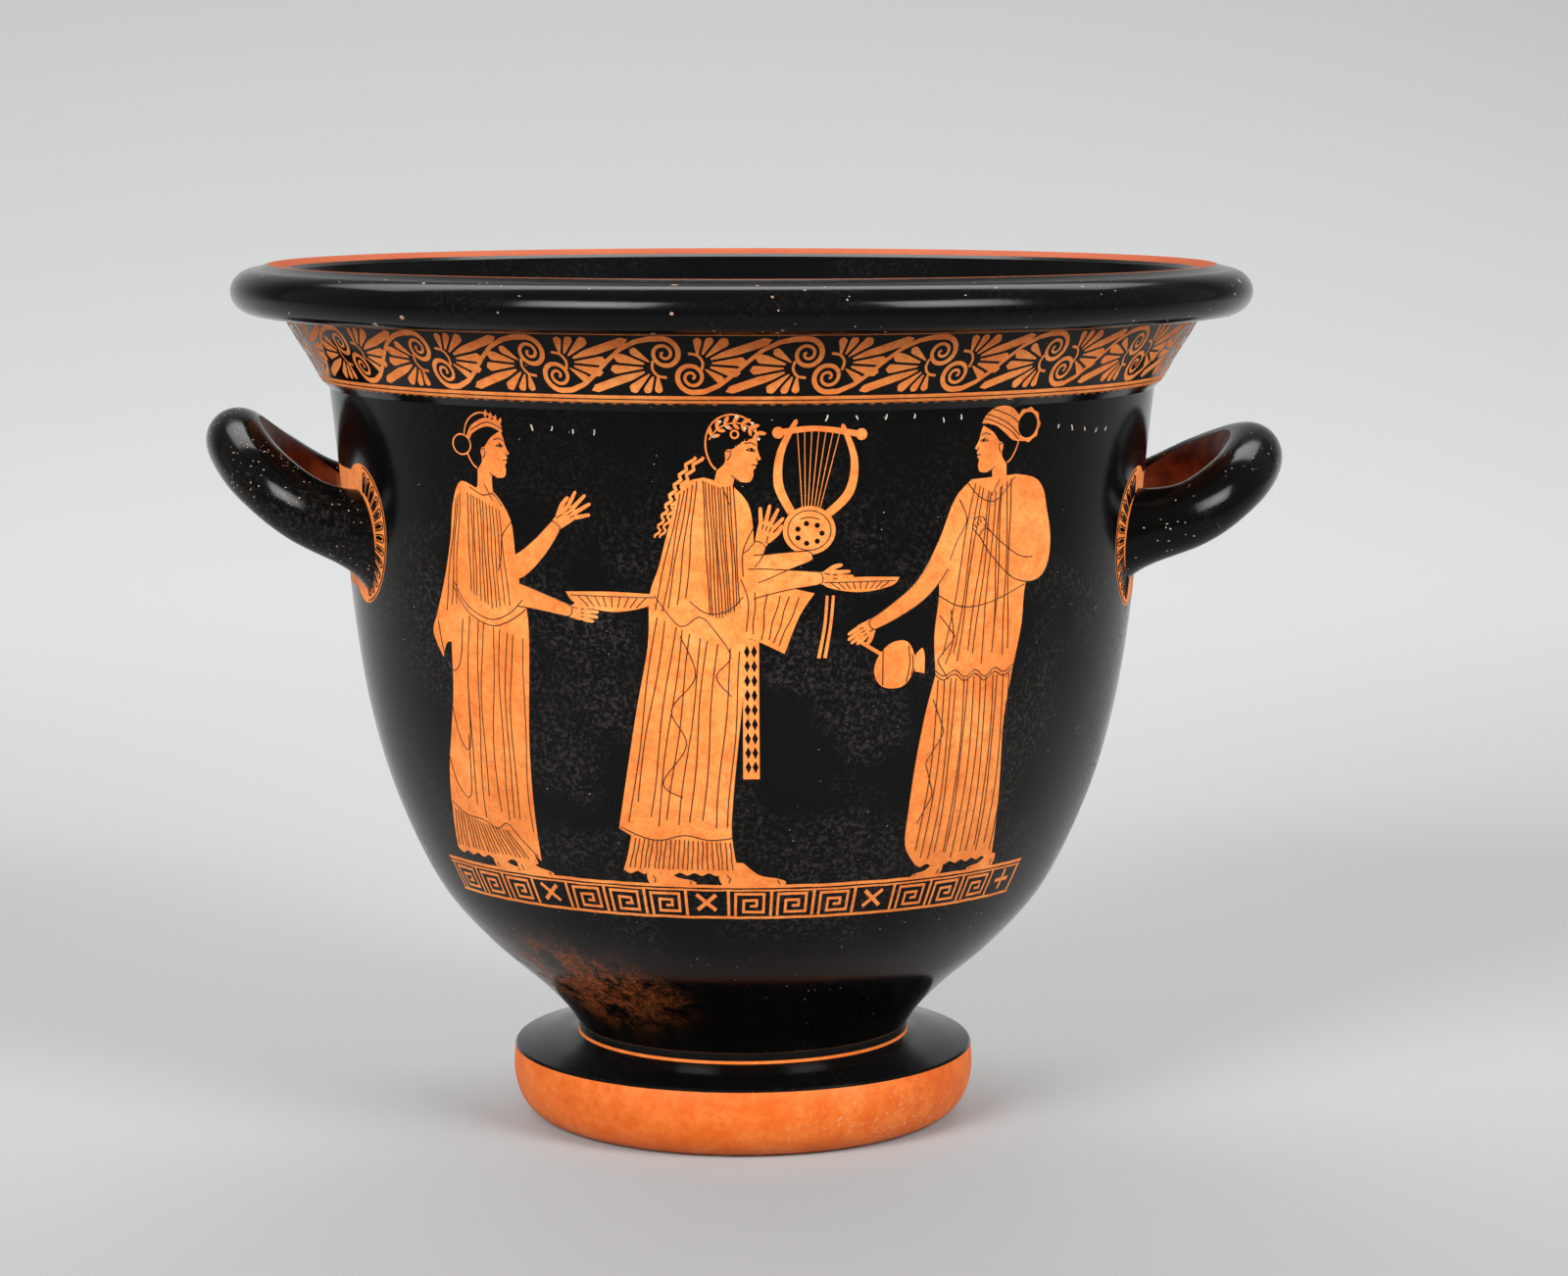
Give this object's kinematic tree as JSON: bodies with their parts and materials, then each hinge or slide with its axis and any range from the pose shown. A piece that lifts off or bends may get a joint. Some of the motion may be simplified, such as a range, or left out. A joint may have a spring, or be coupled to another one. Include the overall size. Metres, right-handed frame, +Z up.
{
  "type": "greek krater",
  "caption": "Wide bell-shaped clay mixing bowl with an overhanging round lip, disc foot and upturned loop handles, painted in the red-figure way.",
  "frame": {"origin": "centre of the underside of the foot, on the surface it stands on", "axes": "+Z up along the turning axis, X through the two handles, -Y towards the painted front"},
  "size_m": [0.4628, 0.4352, 0.37],
  "materials": {
    "painted_clay": "black gloss over orange clay, reserved figures and bands"
  },
  "bodies": {
    "root": {"krater": "painted_clay"}
  },
  "joints": []
}
